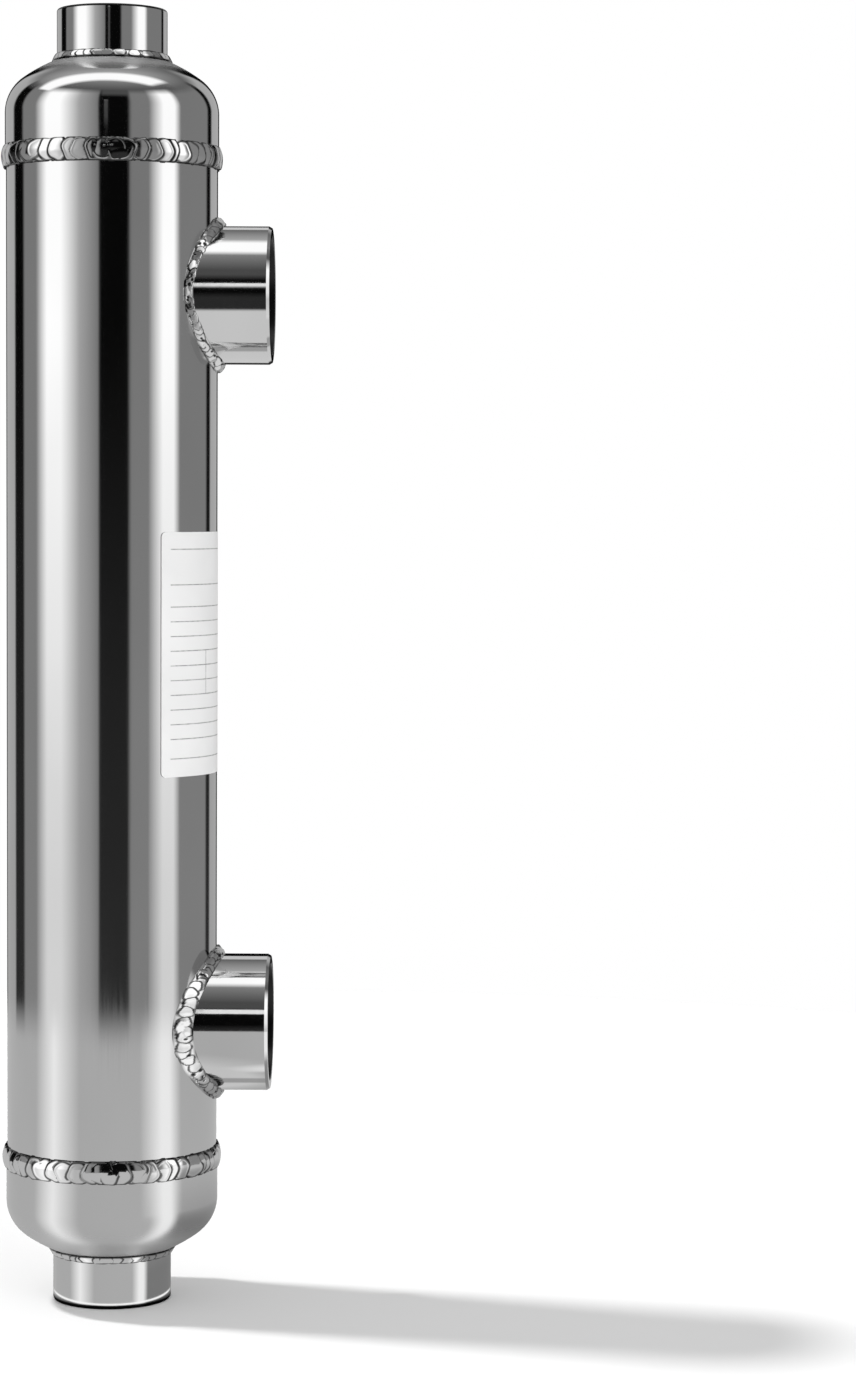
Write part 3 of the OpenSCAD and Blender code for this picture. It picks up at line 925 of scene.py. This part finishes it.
# %% Studio seen in the metal
WHITE_FLAT, GREY_FLAT, DIM_FLAT, BLACK_FLAT = 1.4, 0.5, 0.25, 0.003
SIDE_FLATS = [
    (-160, BLACK_FLAT), (-157, GREY_FLAT), (-128, GREY_FLAT), (-124, BLACK_FLAT), (-108, BLACK_FLAT),
    (-104, DIM_FLAT), (-85, DIM_FLAT), (-70, WHITE_FLAT), (-52, WHITE_FLAT), (-30, GREY_FLAT),
    (-10, DIM_FLAT), (-8, BLACK_FLAT), (22, BLACK_FLAT), (26, DIM_FLAT), (45, DIM_FLAT), (62, WHITE_FLAT),
    (76, WHITE_FLAT), (84, DIM_FLAT), (128, DIM_FLAT), (132, BLACK_FLAT), (138, BLACK_FLAT),
    (142, GREY_FLAT), (166, GREY_FLAT), (169, BLACK_FLAT)]
PALE = 0.35
LOW_GLOW = [(-90, 0.48), (-6.5, 0.48), (2.5, 1.0)]
CEILING = [(40, 0.09), (86, 0.40)]
OVERHEAD = (-1.40, 0.70, -0.33, 0.16)
ROOM_FILL = 0.60


def studio_world():
    world = bpy.data.worlds.new("studio")
    scene.world = world
    world.use_nodes = True
    world.cycles.sampling_method = "NONE"
    tree = world.node_tree
    way = add_node(tree, "ShaderNodeTexCoord").outputs["Generated"]
    split = add_node(tree, "ShaderNodeSeparateXYZ", {"Vector": way})
    x, y, z = split.outputs["X"], split.outputs["Y"], split.outputs["Z"]
    turn = math_node(tree, "ARCTAN2", x, math_node(tree, "MULTIPLY", y, -1.0))
    rise = math_node(tree, "ARCSINE", z)
    walls = degrees_ramp(tree, turn, SIDE_FLATS, 180)
    pale = math_node(tree, "MINIMUM", walls, PALE)
    glow = degrees_ramp(tree, rise, LOW_GLOW, 90)
    lit = math_node(tree, "MULTIPLY", math_node(tree, "SUBTRACT", walls, pale), glow)
    haze = math_node(tree, "MULTIPLY", math_node(tree, "SUBTRACT", 1.0, glow), 0.05)
    walls = math_node(tree, "ADD", math_node(tree, "ADD", pale, lit), haze)
    doorway = math_node(tree, "MULTIPLY", inside_band(tree, turn, math.radians(-8.5), math.radians(20), 0.03),
                        inside_band(tree, rise, math.radians(6.3), math.radians(30), 0.01))
    walls = mix_node(tree, doorway, walls, 0.003)
    is_front = inside_band(tree, turn, math.radians(-7), math.radians(24), 0.03)
    side_top = degrees_ramp(tree, rise, [(-90, 0.0), (31, 0.0), (44, 1.0)], 90)
    front_top = degrees_ramp(tree, rise, [(-90, 0.0), (23, 0.0), (32, 1.0)], 90)
    height = math_node(tree, "MAXIMUM", z, 0.01)
    across, back = math_node(tree, "DIVIDE", x, height), math_node(tree, "DIVIDE", y, height)
    to_back, to_left = between(tree, back, -0.1, 0.2, 0.0, 1.0), between(tree, across, -0.15, -0.9, 0.45, 1.35)
    glow = math_node(tree, "ADD", math_node(tree, "MULTIPLY", to_back, to_left), 1.0)
    ceiling = math_node(tree, "MULTIPLY", degrees_ramp(tree, rise, CEILING, 90), glow)
    room = mix_node(tree, mix_node(tree, is_front, side_top, front_top), walls, ceiling)
    at_back = inside_band(tree, turn, math.radians(-180), math.radians(-171), 0.02)
    back_light = math_node(tree, "MULTIPLY", at_back, inside_band(tree, rise, math.radians(25), math.radians(41), 0.02))
    room = mix_node(tree, back_light, room, 0.72)
    low_x, high_x, low_y, high_y = OVERHEAD
    box = math_node(tree, "MULTIPLY", inside_band(tree, across, low_x, high_x, 0.08),
                    inside_band(tree, back, low_y, high_y, 0.08))
    room = mix_node(tree, box, room, 1.38)
    path = add_node(tree, "ShaderNodeLightPath").outputs
    level = mix_node(tree, path["Is Glossy Ray"], ROOM_FILL, room)
    level = mix_node(tree, path["Is Camera Ray"], level, 1.0)
    tree.links.new(level, tree.nodes["Background"].inputs["Color"])


def catch_light():
    """A small bright card in front, which only the metal sees, and dimmer to the nearest metal, the dome."""
    bm = bmesh.new()
    place = Matrix.Translation((-0.018, -0.944, 0.510)) @ Matrix.Rotation(math.pi / 2, 4, "X")
    bmesh.ops.create_grid(bm, x_segments=1, y_segments=1, size=0.5, matrix=place @ Matrix.Diagonal((0.065, 0.140, 1, 1)))
    mesh = bpy.data.meshes.new("catch_light")
    bm.to_mesh(mesh)
    bm.free()
    material, tree, shader = fresh_material("card_glow")
    length = add_node(tree, "ShaderNodeLightPath").outputs["Ray Length"]
    glow = add_node(tree, "ShaderNodeEmission", {"Strength": between(tree, length, 0.940, 0.952, 0.08, 1.1)})
    tree.links.new(glow.outputs[0], tree.nodes["Material Output"].inputs["Surface"])
    mesh.materials.append(material)
    card = bpy.data.objects.new("catch_light", mesh)
    scene.collection.objects.link(card)
    card.visible_camera = card.visible_diffuse = card.visible_shadow = False


studio_world()
catch_light()
print("studio ready")

# %% [markdown]
# ## The lamps
# One lamp from the left and a little behind throws the shadow to the right and towards the viewer. A broad
# weak one from the front lights the label. Both are kept out of reflections, because the flats already say
# what the metal sees.

# %% Lamps


def far_lamp(name, turn, rise, level, spread):
    """A lamp so far away that its light is even; level is what a surface square to it sends back."""
    lamp = bpy.data.lights.new(name, "SUN")
    lamp.energy = level * math.pi
    lamp.angle = math.radians(spread)
    holder = bpy.data.objects.new(name, lamp)
    scene.collection.objects.link(holder)
    turn, rise = math.radians(turn), math.radians(rise)
    away = Vector((math.cos(rise) * math.sin(turn), -math.cos(rise) * math.cos(turn), math.sin(rise)))
    holder.location = away
    holder.rotation_euler = away.to_track_quat("Z", "Y").to_euler()
    holder.visible_glossy = False
    print(name, "from", [round(c, 2) for c in away])


far_lamp("key_lamp", -105, 62, 0.66, 5)
far_lamp("front_fill", 35, 14, 0.36, 50)
